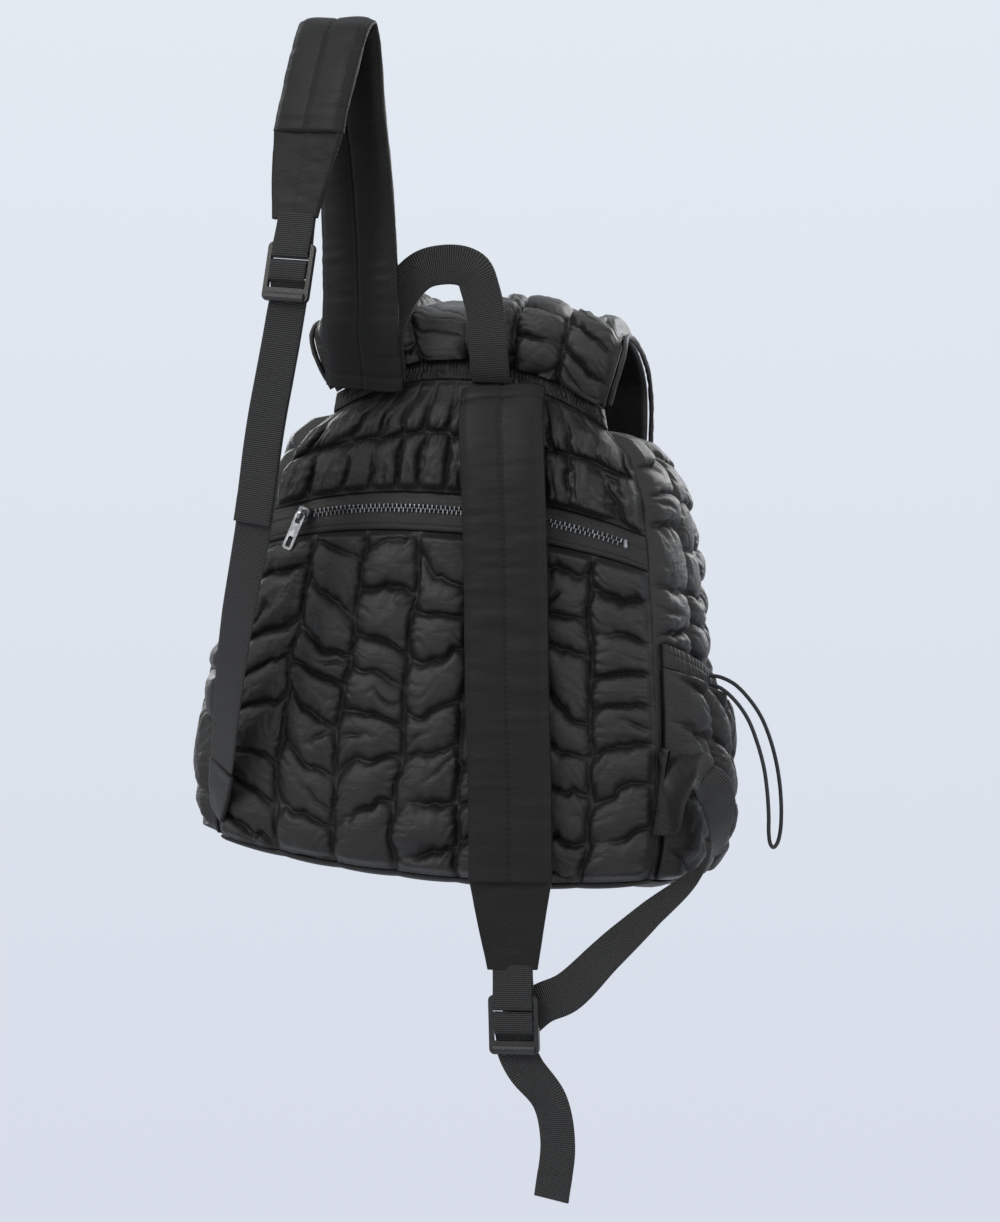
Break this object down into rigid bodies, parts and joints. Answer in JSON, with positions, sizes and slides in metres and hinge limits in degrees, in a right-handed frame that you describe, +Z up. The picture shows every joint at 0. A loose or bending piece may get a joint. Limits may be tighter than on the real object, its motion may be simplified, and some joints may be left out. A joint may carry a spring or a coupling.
{
  "type": "backpack",
  "caption": "A black quilted puffer backpack hanging from its left shoulder strap, with gathered stitched puffs, a back zip, a folded flap, drawcord side pockets and ladder lock straps.",
  "frame": {"origin": "The underside of the left strap's arch, at the middle of its width, where a hook carries the bag", "axes": "+X to the viewer's right as the wearer's side faces the viewer, +Y from the wearer's side to the bag's front, +Z up"},
  "size_m": [0.4633, 0.2849, 0.8824],
  "materials": {
    "puffer_nylon": "semi-matte gathered nylon over padding",
    "plain_nylon": "smooth semi-matte nylon",
    "strap_nylon": "smooth nylon over foam padding",
    "webbing": "finely ribbed matte webbing",
    "drawcord": "round braided cord",
    "buckle_plastic": "moulded plastic with a soft shine",
    "zip_metal": "dark gunmetal"
  },
  "bodies": {
    "bag": {"back_panel_lower": "puffer_nylon", "back_panel_upper": "puffer_nylon", "side_panel_right": "puffer_nylon", "side_panel_left": "puffer_nylon", "front_panel": "puffer_nylon", "base_panel": "plain_nylon", "zip_tape": "plain_nylon", "zip_chain": "zip_metal", "zip_slider": "zip_metal", "flap": "puffer_nylon", "flap_binding": "plain_nylon", "flap_seam_band": "plain_nylon", "side_pocket_right": "puffer_nylon", "side_pocket_left": "puffer_nylon", "pocket_hem_right": "plain_nylon", "pocket_hem_left": "plain_nylon", "pocket_cord": "drawcord", "grab_handle": "webbing", "left_strap_pad": "strap_nylon", "left_strap_end": "strap_nylon", "left_strap_stub": "webbing", "left_buckle": "buckle_plastic", "left_webbing": "webbing", "left_tail": "webbing", "left_tab": "plain_nylon", "right_strap_pad": "strap_nylon", "right_strap_end": "strap_nylon", "right_strap_stub": "webbing", "right_buckle": "buckle_plastic", "right_webbing": "webbing", "right_tail": "webbing", "right_tab": "plain_nylon"},
    "puller": {"zip_puller": "zip_metal"}
  },
  "joints": [
    {"name": "zip_puller", "type": "hinge", "parent": "bag", "child": "puller", "pos_m": [-0.0387, 0.02742, -0.35966], "axis": [-0.9141, 0.1761, 0.3652], "range_deg": [0, 150]}
  ]
}
